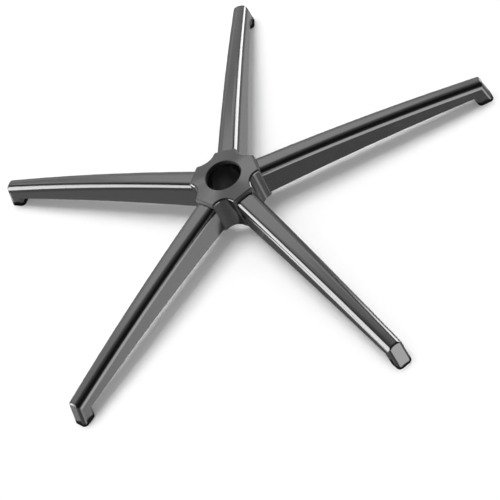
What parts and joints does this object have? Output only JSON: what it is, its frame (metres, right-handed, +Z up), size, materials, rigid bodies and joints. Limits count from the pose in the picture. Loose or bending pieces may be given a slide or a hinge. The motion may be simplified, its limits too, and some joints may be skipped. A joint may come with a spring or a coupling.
{
  "type": "office chair base",
  "caption": "Star-shaped swivel chair base cast in one piece, with a round column bore in the hub, arched hollow legs and a caster socket under each tip.",
  "frame": {"origin": "on the hub axis at the mouth of the column bore", "axes": "+Z up along the hub axis, +X along the middle of one leg"},
  "size_m": [0.6619, 0.6954, 0.0802],
  "materials": {
    "casting": "gloss black paint"
  },
  "bodies": {
    "root": {"base_casting": "casting"}
  },
  "joints": []
}
